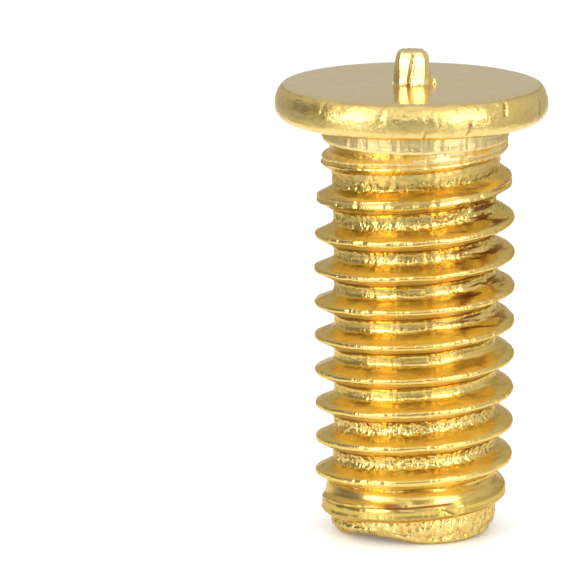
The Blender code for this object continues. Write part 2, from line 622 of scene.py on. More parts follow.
    def hold_to_blank(self, shank: bpy.types.Object) -> None:
        """Limit the swept thread to what the blank filled: end, land, run-out and neck.

        Args:
            shank: The swept shank.
        """
        points = read_points(shank)
        places = self.places(points)
        largest = np.interp(places.height, self.blank_heights, self.blank_radii)
        smallest = np.interp(places.height, self.groove_heights, self.groove_radii)
        wanted = np.minimum(np.maximum(places.radius, smallest), largest)
        under_crest = (places.crest < self.land_crest) | (places.offset < 0.0)
        below_land = (places.height < self.step_limit) & under_crest
        on_left = facing(places.angle, *self.left_step)
        step_foot = self.land_step - self.step_drop - self.left_step_drop * on_left
        depth_below = np.where(places.crest < self.land_crest, -self.pitch, places.offset)
        share = np.clip((depth_below - step_foot) / (self.land_step - step_foot), 0.0, 1.0)
        lip = np.interp(places.height, self.lip_heights, self.lip_radii)
        wanted = np.where(below_land, lip + (wanted - lip) * share, wanted)
        points[:, :2] *= (wanted / places.radius)[:, None]
        write_points(shank, points)

    def work_metal(self, shank: bpy.types.Object) -> None:
        """Shape what rolling and cropping left on the surface.

        Args:
            shank: The shank, held to its blank.
        """
        points = read_points(shank)
        places = self.places(points)
        marks = (self.crest_marks, self.root_flakes, self.chatter, self.end_marks, self.neck_marks)
        rise = sum(mark(points, places) for mark in marks)
        points[:, :2] *= (1.0 + rise / places.radius)[:, None]
        write_points(shank, points)

    def crest_marks(self, points: np.ndarray, places: ThreadPlaces) -> np.ndarray:
        """Uneven filling, nicks across the crest and the seam along it.

        Args:
            points: The shank's points.
            places: Their places on the thread.

        Returns:
            How far each point rises outwards.
        """
        on_crest = bump_at(places.offset, 0.0, self.crest_reach)
        on_crest *= smooth_step(*self.crest_radii, places.radius)
        on_crest *= smooth_step(*self.crest_end, places.height)
        fuller = np.interp(places.height, self.full_heights, self.full_rises)
        swell = self.swell_height * self.swell.read(points)
        nicks = smooth_step(*self.nick_levels, self.nicks.read(points))
        nicks *= self.nick_depth * smooth_step(*self.nick_heights, places.height)
        turn = places.crest + places.angle / 360.0
        opened = self.open_seam_depth * smooth_step(*self.open_seam_turns, turn)
        seam = bump_at(places.offset, 0.0, self.seam_width) * (self.seam_depth + opened)
        return on_crest * (fuller + swell - nicks - seam)

    def root_flakes(self, points: np.ndarray, places: ThreadPlaces) -> np.ndarray:
        """Torn, flaky metal in the roots, rougher in some turns than in others.

        Args:
            points: The shank's points.
            places: Their places on the thread.

        Returns:
            How far each point rises outwards.
        """
        in_root = smooth_step(*self.root_gaps, np.abs(places.offset))
        in_root *= smooth_step(*self.root_radii, places.radius)
        torn = np.interp(places.height, self.torn_heights, self.torn_shares)
        flakes = self.coarse_share * self.flakes.read(points)
        flakes += (1.0 - self.coarse_share) * self.fine_flakes.read(points)
        return self.flake_height * in_root * torn * flakes

    def chatter(self, points: np.ndarray, places: ThreadPlaces) -> np.ndarray:
        """Slanted ticks that a worn roll left on the right of two lower flanks.

        Args:
            points: The shank's points.
            places: Their places on the thread.

        Returns:
            How far each point rises outwards.
        """
        flank = bump_at(places.offset, *self.tick_place)
        run = window(places.angle, *self.tick_run)
        depth = sum(np.where(places.crest == crest, deep, 0.0) for crest, deep in self.tick_depths)
        ticks = places.angle / self.tick_angle + places.offset / self.tick_slant
        return depth * flank * run * np.cos(math.tau * ticks)

    def end_marks(self, points: np.ndarray, places: ThreadPlaces) -> np.ndarray:
        """Crop burrs round the end, its beaded edge, and the fold and nick on the land.

        Args:
            points: The shank's points.
            places: Their places on the thread.

        Returns:
            How far each point rises outwards.
        """
        torn = self.torn_lip.read(points) + self.lump_share * self.lip_lumps.read(points)
        rise = self.tear_height * smooth_step(*self.tear_top, places.height) * torn
        left = facing(places.angle, *self.lip_left)
        rise += self.flare_rise * left * smooth_step(*self.flare_top, places.height)
        front = facing(places.angle, *self.lip_front)
        rise += self.front_bead_rise * front * bump_at(places.height, *self.front_bead)
        rise -= self.front_groove_depth * front * bump_at(places.height, *self.front_groove)
        on_land = places.crest == self.land_crest
        lap = on_land * facing(places.angle, *self.lap)
        rise += self.lap_rise * lap * bump_at(places.offset, *self.lap_place)
        beads = self.bead_rise * self.beads.read(points)
        rise += lap * beads * bump_at(places.offset, *self.bead_place)
        fold_line = np.interp(places.angle, self.fold_angles, self.fold_offsets)
        fold = window(places.angle, *self.fold_run)
        fold *= bump_at(places.offset - fold_line, 0.0, self.fold_width)
        rise -= self.fold_depth * on_land * fold
        nick_line = self.nick_angle - self.nick_slant * places.offset
        nick = bump_at(turn_gap(places.angle, nick_line), 0.0, self.nick_width)
        nick *= smooth_step(*self.nick_gaps, np.abs(places.offset))
        rise -= self.land_nick_depth * on_land * nick
        return rise

    def neck_marks(self, points: np.ndarray, places: ThreadPlaces) -> np.ndarray:
        """Drawn lines down the neck and one small dent at its front.

        Args:
            points: The shank's points.
            places: Their places on the thread.

        Returns:
            How far each point rises outwards.
        """
        middle, width = self.dent_angle
        dent = bump_at(turn_gap(places.angle, middle), 0.0, width)
        dent *= bump_at(places.height, *self.dent_height)
        drawn = self.drawn_depth + self.drawn_band_depth * bump_at(places.height, *self.drawn_band)
        drawn *= smooth_step(*self.neck_start, places.height)
        return drawn * self.drawn_lines.read(points) - self.dent_depth * dent

    def lift_last_turns(self, shank: bpy.types.Object) -> None:
        """Run the last turns up a little steeper and let every crest waver slightly.

        Args:
            shank: The shank with its worked surface.
        """
        points = read_points(shank)
        heights = points[:, 2].copy()
        run = self.last_turn_rise * window(heights, *self.last_turns)
        waver = self.waver_height * self.waver.read(points) * window(heights, *self.waver_run)
        points[:, 2] += run + waver
        write_points(shank, points)

    def lift_rim(self, shank: bpy.types.Object) -> None:
        """Bend up the edge of the end where the crop pulled it.

        Args:
            shank: The shank with its dished end.
        """
        points = read_points(shank)
        angles = np.degrees(np.arctan2(points[:, 1], points[:, 0]))
        radii = np.hypot(points[:, 0], points[:, 1])
        pulled = sum(
            rise * bump_at(turn_gap(angles, middle), 0.0, width)
            for middle, width, rise in self.rim_pulls
        )
        near_rim = smooth_step(*self.pulled_radii, radii)
        near_rim *= 1.0 - smooth_step(0.0, self.pulled_height, points[:, 2])
        points[:, 2] += pulled * near_rim
        write_points(shank, points)


# The upset head


@dataclass
class FlangeAndTip:
    """The flange with its rounded rim and the ignition tip on the weld face.

    Rings are the extra circles of points that shape a flat face, and a span gives the
    value where something starts and the value where it is full.
    """

    # The turned form
    axis_offset: float = -0.075
    weld_face: float = 9.22
    thickness: float = 0.72
    radius: float = 2.765
    crease_radius: float = 2.612
    crease_rings: tuple[tuple[float, float], ...] = ((0.07, 0.005), (0.012, 0.0176), (0.0, 0.022))
    shoulder_run: float = 0.23
    shoulder_drop: float = 0.42
    shoulder_top: float = 62.0
    shoulder_segments: int = 8
    under_run: float = 0.24
    under_segments: int = 7
    neck_opening: float = 1.98
    underside_ring: float = 0.2
    face_rings: tuple[float, ...] = (0.62, 0.9784, 1.3368, 1.6952, 2.0536, 2.412)
    foot_rings: tuple[float, ...] = (
        0.012, 0.025, 0.04, 0.055, 0.07, 0.085, 0.10, 0.12, 0.14, 0.16
    )
    tip_offset: float = 0.013
    tip_reach: float = 0.46
    tip_radius: float = 0.377
    tip_end_radius: float = 0.313
    tip_length: float = 0.68
    tip_edge: float = 0.075
    edge_segments: int = 4
    barrel_foot: float = 4.0
    barrel_segments: int = 9
    steps: int = 400

    # The rim: mottling, and cracks, each with its angle, lowest and highest point and depth
    mottled_from: Span = (-0.05, 0.03)
    mottle: Unevenness = Unevenness((0.32, 0.32, 0.22), 5.5)
    mottle_height: float = 0.012
    fine_mottle: Unevenness = Unevenness((0.12, 0.12, 0.14), 17.2)
    fine_mottle_height: float = 0.005
    rim_cracks: tuple[tuple[float, float, float, float], ...] = (
        (-47.2, 8.92, 9.19, 0.05),
        (-65.9, 8.60, 8.86, 0.035),
        (-85.0, 8.52, 8.70, 0.04),
        (-71.3, 8.90, 9.15, 0.018),
        (-103.0, 8.95, 9.19, 0.02),
        (-131.0, 8.88, 9.12, 0.018),
        (-22.0, 8.70, 9.05, 0.022),
        (35.0, 8.75, 9.18, 0.03),
        (118.0, 8.62, 8.95, 0.03),
        (171.0, 8.85, 9.15, 0.025),
    )
    crack_slant: float = 6.0
    crack_width: float = 1.1
    crack_fade: float = 0.04

    # The weld face: a slight wave, and burr specks, each with its place, width and height
    wave: Unevenness = Unevenness((0.8, 0.8, 1.0), 2.9)
    wave_height: float = 0.0035
    wave_level: float = -0.6
    face_depth: float = 0.03
    tip_clearance: float = 0.01
    burr_specks: tuple[tuple[float, float, float, float], ...] = (
        (-0.385, -0.06, 0.05, 0.05),
        (0.455, -0.12, 0.055, 0.13),
        (0.43, 0.05, 0.05, 0.06),
        (-0.30, 0.36, 0.05, 0.05),
    )

    # The tip: lumps, flats with their angle and depth, creases with their angle at the
    # foot, lean, width and depth, and the rough top
    tip_lumps: Unevenness = Unevenness((0.26, 0.26, 0.28), 12.4)
    tip_lump_height: float = 0.012
    tip_level: float = -0.004
    tip_flats: tuple[tuple[float, float], ...] = (
        (-115.0, 0.026),
        (-68.0, 0.026),
        (120.0, 0.02),
    )
    flat_limit: float = 60.0
    tip_creases: tuple[tuple[float, float, float, float], ...] = (
        (-101.0, 17.0, 11.0, 0.035),
        (-150.0, -10.0, 16.0, 0.014),
        (-40.0, 12.0, 16.0, 0.014),
        (30.0, -12.0, 30.0, 0.025),
        (110.0, 12.0, 30.0, 0.025),
    )
    tip_margin: float = 0.005
    smallest_tip_radius: float = 0.25
    rough_top: float = 0.8
    top_lumps: Unevenness = Unevenness((0.1, 0.1, 1.0), 6.1)
    top_lump_level: float = 0.4
    top_lump_height: float = 0.016

    def outline(self) -> Outline:
        """The head's outline, from the tip's top down to the underside by the neck.

        Returns:
            Radius and height of each point.
        """
        tip_top = self.weld_face + self.tip_length
        edge = (self.tip_end_radius - self.tip_edge, tip_top - self.tip_edge)
        points = [(0.0, tip_top), (edge[0] / 2, tip_top)]
        points += arc(edge, self.tip_edge, self.tip_edge, 90.0, 0.0, self.edge_segments)
        foot = (self.tip_end_radius, self.weld_face)
        bulge = self.tip_radius - self.tip_end_radius
        barrel_rise = self.tip_length - self.tip_edge
        barrel = arc(foot, bulge, barrel_rise, 90.0, self.barrel_foot, self.barrel_segments)
        points += barrel[1:]
        points += [(self.tip_radius + ring, self.weld_face) for ring in self.foot_rings]
        points += [(radius, self.weld_face) for radius in self.face_rings]
        for inset, drop in self.crease_rings:
            points.append((self.crease_radius - inset, self.weld_face - drop))
        widest = self.weld_face - self.shoulder_drop
        points += arc(
            (self.radius - self.shoulder_run, widest),
            self.shoulder_run,
            self.shoulder_drop,
            self.shoulder_top,
            0.0,
            self.shoulder_segments,
        )
        under = arc(
            (self.radius - self.under_run, widest),
            self.under_run,
            self.thickness - self.shoulder_drop,
            0.0,
            -90.0,
            self.under_segments,
        )
        points += under[1:]
        underside = self.weld_face - self.thickness
        points.append((self.neck_opening + self.underside_ring, underside))
        points.append((self.neck_opening, underside))
        return points

    def build(self) -> bpy.types.Object:
        """Model the head, open where the neck joins it.

        Returns:
            The head, turned on its own axis, which lies beside the thread's.
        """
        head = trace_outline("flange_and_tip", self.outline())
        screw_sweep(head, self.steps, 0.0, 1)
        self.work_rim(head)
        self.work_face(head)
        self.work_tip(head)
        take_up(head)
        bpy.ops.transform.translate(value=(self.axis_offset * MM, 0.0, 0.0))
        bpy.ops.object.transform_apply(location=True, rotation=True, scale=True)
        return head

    def work_rim(self, head: bpy.types.Object) -> None:
        """Mottle the rim as upsetting left it, and open the small cracks in it.

        Args:
            head: The turned head, still on its own axis.
        """
        points = read_points(head)
        radii = np.hypot(points[:, 0], points[:, 1])
        angles = np.degrees(np.arctan2(points[:, 1], points[:, 0]))
        inner, outer = self.mottled_from
        on_rim = smooth_step(self.crease_radius + inner, self.crease_radius + outer, radii)
        rise = self.mottle_height * self.mottle.read(points)
        rise += self.fine_mottle_height * self.fine_mottle.read(points)
        for angle, low, high, depth in self.rim_cracks:
            slant = (points[:, 2] - low) * self.crack_slant
            opening = bump_at(turn_gap(angles, angle + slant), 0.0, self.crack_width)
            ends = (low - self.crack_fade, low), (high + self.crack_fade, high)
            rise -= depth * opening * window(points[:, 2], *ends)
        share = on_rim * np.minimum(rise, 0.0) / np.maximum(radii, self.tip_radius)
        points[:, :2] *= (1.0 + share)[:, None]
        write_points(head, points)

    def work_face(self, head: bpy.types.Object) -> None:
        """Leave the weld face very slightly uneven, with burr specks by the tip.

        Args:
            head: The turned head, still on its own axis.
        """
        points = read_points(head)
        radii = np.hypot(points[:, 0], points[:, 1])
        on_face = np.abs(points[:, 2] - self.weld_face) < self.face_depth
        on_face &= radii > self.tip_radius + self.tip_clearance
        wave = self.wave_height * (self.wave.read(points) + self.wave_level)
        points[:, 2] += np.where(on_face, wave, 0.0)
        for side, back, width, height in self.burr_specks:
            gap = np.hypot(points[:, 0] - side, points[:, 1] - back)
            dome = np.sqrt(np.clip(1.0 - (gap / width) ** 2, 0.0, 1.0))
            points[:, 2] += np.where(on_face, height * dome, 0.0)
        write_points(head, points)

    def work_tip(self, head: bpy.types.Object) -> None:
        """Pinch the tip as its dies did: flats and creases down its side, a rough top.

        Args:
            head: The turned head, still on its own axis.
        """
        points = read_points(head)
        radii = np.hypot(points[:, 0], points[:, 1])
        angles = np.degrees(np.arctan2(points[:, 1], points[:, 0]))
        up = (points[:, 2] - self.weld_face) / self.tip_length
        on_tip = (radii < self.tip_radius + self.tip_margin) & (up > 0.0)
        rise = self.tip_lump_height * self.tip_lumps.read(points) + self.tip_level
        for angle, depth in self.tip_flats:
            turn = np.clip(turn_gap(angles, angle), -self.flat_limit, self.flat_limit)
            rise = np.minimum(rise, (radii - depth) / np.cos(np.radians(turn)) - radii)
        for angle, lean, width, depth in self.tip_creases:
            rise -= depth * bump_at(turn_gap(angles, angle + lean * up), 0.0, width)
        rise /= np.maximum(radii, self.smallest_tip_radius)
        points[:, :2] *= 1.0 + np.where(on_tip, rise, 0.0)[:, None]
        lumps = np.minimum(self.top_lumps.read(points) - self.top_lump_level, 0.0)
        top = on_tip & (up > self.rough_top)
        points[:, 2] += np.where(top, self.top_lump_height * lumps, 0.0)
        points[:, 0] += np.where(radii < self.tip_reach, self.tip_offset, 0.0)
        write_points(head, points)


# Finishes: how the nodes are laid out, the groups that finishes share, and the finishes


@dataclass(frozen=True)
class Grain:
    """Noise in a finish: its grain along each axis, its octaves of detail and its place.

    The place lies in the noise's fourth dimension and sets one noise apart from another.
    """

    size: tuple[float, float, float]
    detail: float
    place: float


@dataclass
class Nodes:
    """One node tree, of a material or a node group, filled node by node."""

    tree: bpy.types.NodeTree
    rows: int = 6
    column_width: float = 220.0
    row_height: float = 180.0

    def add(
        self,
        kind: str,
        inputs: dict[str | int, Value] | None = None,
        **settings: str | bool | bpy.types.NodeTree,
    ) -> bpy.types.Node:
        """Add a node.

        Args:
            kind: The node's type in Blender.
            inputs: Sockets to link or values to set, by input name or number.
            settings: The node's own settings.

        Returns:
            The new node.
        """
        node = self.tree.nodes.new(kind)
        column, row = divmod(len(self.tree.nodes), self.rows)
        node.location = (column * self.column_width, -row * self.row_height)
        for name, setting in settings.items():
            setattr(node, name, setting)
        for name, value in (inputs or {}).items():
            if isinstance(value, bpy.types.NodeSocket):
                self.tree.links.new(value, node.inputs[name])
            else:
                node.inputs[name].default_value = value
        return node

    def link(self, node: bpy.types.Node, results: dict[str, Value]) -> None:
        """Link results to a node's inputs, by input name."""
        for name, result in results.items():
            self.tree.links.new(result, node.inputs[name])

    def use(
        self, group: bpy.types.NodeTree, inputs: dict[str | int, Value] | None = None
    ) -> bpy.types.Node:
        """Place a node group."""
        return self.add("ShaderNodeGroup", inputs, node_tree=group)

    def maths(self, operation: str, first: Value, second: Value = 0.0) -> bpy.types.NodeSocket:
        """Work out one value from one or two others.

        Args:
            operation: What the math node does.
            first: Its first value.
            second: Its second value, where it has one.

        Returns:
            The result.
        """
        return self.add("ShaderNodeMath", {0: first, 1: second}, operation=operation).outputs[0]

    def total(self, *values: Value) -> Value:
        """Add several values up."""
        return reduce(lambda one, other: self.maths("ADD", one, other), values)

    def product(self, *values: Value) -> Value:
        """Multiply several values."""
        return reduce(lambda one, other: self.maths("MULTIPLY", one, other), values)

    def gap(self, value: Value, centre: float) -> bpy.types.NodeSocket:
        """Distance of a value from a centre."""
        return self.maths("ABSOLUTE", self.maths("SUBTRACT", value, centre))

    def reach(self, side: Value, back: Value) -> bpy.types.NodeSocket:
        """Distance from an upright axis."""
        return self.maths("SQRT", self.total(self.product(side, side), self.product(back, back)))

    def ease(
        self, value: Value, low: float, high: float, start: float = 0.0, end: float = 1.0
    ) -> bpy.types.NodeSocket:
        """Ease from one result to another as a value goes from low to high.

        Args:
            value: The value that drives the result.
            low: Where the result starts to change.
            high: Where it stops changing.
            start: The result at the low value.
            end: The result at the high value.

        Returns:
            The result.
        """
        if low > high:
            low, high, start, end = high, low, end, start
        node = self.add(
            "ShaderNodeMapRange",
            {"Value": value, "From Min": low, "From Max": high, "To Min": start, "To Max": end},
            interpolation_type="SMOOTHSTEP",
        )
        return node.outputs["Result"]

    def within(self, value: Value, *spans: Span) -> Value:
        """Ease a value from 0 to 1 over each of several spans and multiply the results."""
        return self.product(*(self.ease(value, *span) for span in spans))

    def stretch(self, point: Value, size: tuple[float, float, float]) -> bpy.types.NodeSocket:
        """Scale coordinates so that one unit spans the given size.

        Args:
            point: Coordinates in millimetres.
            size: Span along each axis, in millimetres.

        Returns:
            The scaled coordinates.
        """
        node = self.add("ShaderNodeVectorMath", {0: point, 1: size}, operation="DIVIDE")
        return node.outputs["Vector"]

    def noise(self, point: Value, grain: Grain) -> bpy.types.NodeSocket:
        """Read noise.

        Args:
            point: Coordinates in millimetres.
            grain: The noise's size, detail and place.

        Returns:
            A value round 0.5.
        """
        node = self.add(
            "ShaderNodeTexNoise",
            {
                "Vector": self.stretch(point, grain.size),
                "W": grain.place,
                "Scale": 1.0,
                "Detail": grain.detail,
            },
            noise_dimensions="4D",
        )
        return node.outputs[0]

    def blend(self, share: Value, first: Value, second: Value) -> bpy.types.NodeSocket:
        """Mix two colours.

        Args:
            share: Share of the second colour.
            first: The first colour.
            second: The second colour.

        Returns:
            The mixed colour.
        """
        # A mix node has sockets for every kind of value: 6, 7 and 2 are those for colours
        node = self.add(
            "ShaderNodeMix", {"Factor": share, 6: first, 7: second}, data_type="RGBA"
        )
        return node.outputs[2]

    def relief(
        self, height: Value, depth: Value, normal: Value | None = None
    ) -> bpy.types.NodeSocket:
        """Turn a height into a normal.

        Args:
            height: The height, from 0 to 1.
            depth: What a height of 1 stands for, in millimetres.
            normal: The normal below, where reliefs lie over each other.

        Returns:
            The normal.
        """
        inputs: dict[str | int, Value] = {"Height": height, "Strength": 1.0}
        inputs["Distance"] = self.maths("MULTIPLY", depth, MM)
        if normal is not None:
            inputs["Normal"] = normal
        return self.add("ShaderNodeBump", inputs).outputs["Normal"]


@dataclass(frozen=True)
class BrassColours:
    """Colours of the brass, pale to warm, the paler colour of torn metal that also paints glints,
    and the olive and brown films on it, whose colours also paint shade.
    """

    pale: Colour = (0.88, 0.67, 0.25, 1.0)
    warm: Colour = (0.86, 0.58, 0.15, 1.0)
    # The paler colour below is bared metal, and it also paints glints on the tops of the end's
    # lumps
    bare: Colour = (0.94, 0.80, 0.44, 1.0)
    # The olive and brown colours below are films, and they also paint shade in grooves, creases,
    # cracks and hollows
    tarnish: Colour = (0.56, 0.41, 0.10, 1.0)
    stain: Colour = (0.26, 0.09, 0.02, 1.0)
    drift: float = 1.2
    drift_grain: Grain = Grain((0.5, 0.5, 0.35), 3.0, 2.2)


@dataclass
class SharedGroups:
    """The effects that the finishes place: each is built once, as a node group."""

    shank: ThreadedShank
    head: FlangeAndTip
    colours: BrassColours
    coarse_lines: Grain = Grain((0.16, 0.16, 1.6), 1.0, 3.1)
    fine_lines: Grain = Grain((0.05, 0.05, 0.9), 2.0, 7.7)
    lumps: Grain = Grain((0.10, 0.10, 0.12), 1.0, 1.3)
    scratch_turns: tuple[float, ...] = (12.0, 71.0, -38.0)
    scratches: tuple[Grain, ...] = (
        Grain((1.4, 0.035, 0.6), 0.0, 5.0),
        Grain((0.9, 0.035, 0.6), 0.0, 6.0),
        Grain((1.1, 0.035, 0.6), 0.0, 7.0),
    )
    scratch_levels: Span = (0.66, 0.72)

    def __post_init__(self) -> None:
        """Build every group once."""
        self.place_group = self.make_places()
        self.line_group = self.make_lines()
        self.lump_group = self.make_lumps()
        self.scratch_group = self.make_scratches()
        self.brass_group = self.make_brass()

    @staticmethod
    def open_group(
        name: str, takes: dict[str, str], gives: dict[str, str]
    ) -> tuple[Nodes, bpy.types.Node, bpy.types.Node]:
        """Start a node group.

        Args:
            name: The group's name.
            takes: Its inputs, each name with its kind of socket.
            gives: Its outputs, each name with its kind of socket.

        Returns:
            The group's nodes, its input node and its output node.
        """
        tree = bpy.data.node_groups.new(name, "ShaderNodeTree")
        for label, kind in takes.items():
            tree.interface.new_socket(label, in_out="INPUT", socket_type=kind)
        for label, kind in gives.items():
            tree.interface.new_socket(label, in_out="OUTPUT", socket_type=kind)
        nodes = Nodes(tree)
        return nodes, nodes.add("NodeGroupInput"), nodes.add("NodeGroupOutput")

    def make_places(self) -> bpy.types.NodeTree:
        """Coordinates on the stud in millimetres, with the distance from the nearest crest.

        Returns:
            The group's tree.
        """
        gives = {label: FLOAT for label in ("Radius", "Angle", "Height", "Offset", "Turn")}
        nodes, _, outlet = self.open_group("stud places", {}, {"Point": VECTOR, **gives})
        object_point = nodes.add("ShaderNodeTexCoord").outputs["Object"]
        point = nodes.stretch(object_point, (MM, MM, MM))
        apart = nodes.add("ShaderNodeSeparateXYZ", {0: point})
        side, back, height = apart.outputs
        turn_share = nodes.maths("DIVIDE", nodes.maths("ARCTAN2", back, side), math.tau)
        pitches = nodes.maths("DIVIDE", height, self.shank.pitch)
        started = nodes.maths("SUBTRACT", pitches, self.shank.start_turn)
        turns = nodes.maths("SUBTRACT", started, turn_share)
        crest = nodes.maths("ROUND", turns)
        results = {
            "Point": point,
            "Radius": nodes.reach(side, back),
            "Angle": nodes.product(turn_share, 360.0),
            "Height": height,
            "Offset": nodes.product(nodes.maths("SUBTRACT", turns, crest), self.shank.pitch),
            "Turn": nodes.total(crest, turn_share),
        }
        nodes.link(outlet, results)
        return nodes.tree

    def make_lines(self) -> bpy.types.NodeTree:
        """Drawn lines: noise stretched along the axis, coarse and fine.

        Returns:
            The group's tree.
        """
        nodes, inlet, outlet = self.open_group(
            "drawn lines", {"Point": VECTOR}, {"Coarse": FLOAT, "Fine": FLOAT}
        )
        point = inlet.outputs["Point"]
        coarse = nodes.noise(point, self.coarse_lines)
        nodes.link(outlet, {"Coarse": coarse, "Fine": nodes.noise(point, self.fine_lines)})
        return nodes.tree

    def make_lumps(self) -> bpy.types.NodeTree:
        """Lumps of torn or upset metal.

        Returns:
            The group's tree.
        """
        nodes, inlet, outlet = self.open_group("lumps", {"Point": VECTOR}, {"Lumps": FLOAT})
        nodes.link(outlet, {"Lumps": nodes.noise(inlet.outputs["Point"], self.lumps)})
        return nodes.tree

    def make_scratches(self) -> bpy.types.NodeTree:
        """Fine handling scratches in three directions.

        Returns:
            The group's tree.
        """
        nodes, inlet, outlet = self.open_group(
            "handling scratches", {"Point": VECTOR}, {"Mask": FLOAT}
        )
        masks = []
        for turn, grain in zip(self.scratch_turns, self.scratches):
            turned = nodes.add(
                "ShaderNodeVectorRotate",
                {"Vector": inlet.outputs["Point"], "Angle": math.radians(turn)},
                rotation_type="Z_AXIS",
            )
            lines = nodes.noise(turned.outputs[0], grain)
            masks.append(nodes.ease(lines, *self.scratch_levels))
        mask = reduce(lambda one, other: nodes.maths("MAXIMUM", one, other), masks)
        nodes.link(outlet, {"Mask": mask})
        return nodes.tree

    def make_brass(self) -> bpy.types.NodeTree:
        """Brass with uneven warmth, paler where bared or painted with glints, dulled olive and
        stained brown, where the olive and the brown also paint shade.

        Returns:
            The group's tree.
        """
        takes = {"Point": VECTOR, "Warmth": FLOAT, "Bare": FLOAT, "Tarnish": FLOAT, "Stain": FLOAT}
        nodes, inlet, outlet = self.open_group("brass colour", takes, {"Color": COLOUR})
        uneven = nodes.noise(inlet.outputs["Point"], self.colours.drift_grain)
        drift = nodes.product(nodes.maths("SUBTRACT", uneven, 0.5), self.colours.drift)
        warmth = nodes.total(inlet.outputs["Warmth"], drift)
        metal = nodes.blend(warmth, self.colours.pale, self.colours.warm)
        metal = nodes.blend(inlet.outputs["Bare"], metal, self.colours.bare)
        dull = nodes.blend(inlet.outputs["Tarnish"], metal, self.colours.tarnish)
        nodes.link(outlet, {"Color": nodes.blend(inlet.outputs["Stain"], dull, self.colours.stain)})
        return nodes.tree


@dataclass(frozen=True)
class Surface:
    """One kind of surface, with what it adds to the finish where its mask is 1."""

    mask: Value
    warmth: float = 0.0
    bare: float = 0.0
    tarnish: float = 0.0
    stain: float = 0.0
    rough: float = 0.0


@dataclass(frozen=True)
class Finish:
    """What every finish of the stud has: a Principled shader set up as polished metal."""

    name: str = "brass"
    roughness: float = 0.2
    edge_tint: Colour = (0.88, 0.78, 0.56, 1.0)

    def open_material(self) -> tuple[bpy.types.Material, Nodes, bpy.types.Node]:
        """Start a material.

        Returns:
            The material, its nodes and its shader.
        """
        material = bpy.data.materials.new(self.name)
        material.use_nodes = True
        shader = material.node_tree.nodes["Principled BSDF"]
        shader.inputs["Metallic"].default_value = 1.0
        shader.inputs["Roughness"].default_value = self.roughness
        shader.inputs["Specular Tint"].default_value = self.edge_tint
        return material, Nodes(material.node_tree), shader

    @staticmethod
    def add_up(nodes: Nodes, surfaces: Sequence[Surface], quality: Quality) -> Value:
        """Add up what the surfaces give to one quality of the finish.

        Args:
            nodes: The material's nodes.
            surfaces: The surfaces.
            quality: The quality.

        Returns:
            The sum, each surface weighed by its mask.
        """
        shares = [(surface.mask, getattr(surface, quality.value)) for surface in surfaces]
        return nodes.total(0.0, *(nodes.product(mask, share) for mask, share in shares if share))

    def colour(
        self, nodes: Nodes, groups: SharedGroups, point: Value, surfaces: Sequence[Surface]
    ) -> bpy.types.NodeSocket:
        """Colour the brass as its surfaces ask.

        Args:
            nodes: The material's nodes.
            groups: The shared node groups.
            point: Coordinates in millimetres.
            surfaces: The surfaces.

        Returns:
            The colour.
        """
        inputs: dict[str | int, Value] = {"Point": point}
        for quality in (Quality.WARMTH, Quality.BARE, Quality.TARNISH, Quality.STAIN):
            inputs[quality.value.capitalize()] = self.add_up(nodes, surfaces, quality)
        return nodes.use(groups.brass_group, inputs).outputs["Color"]


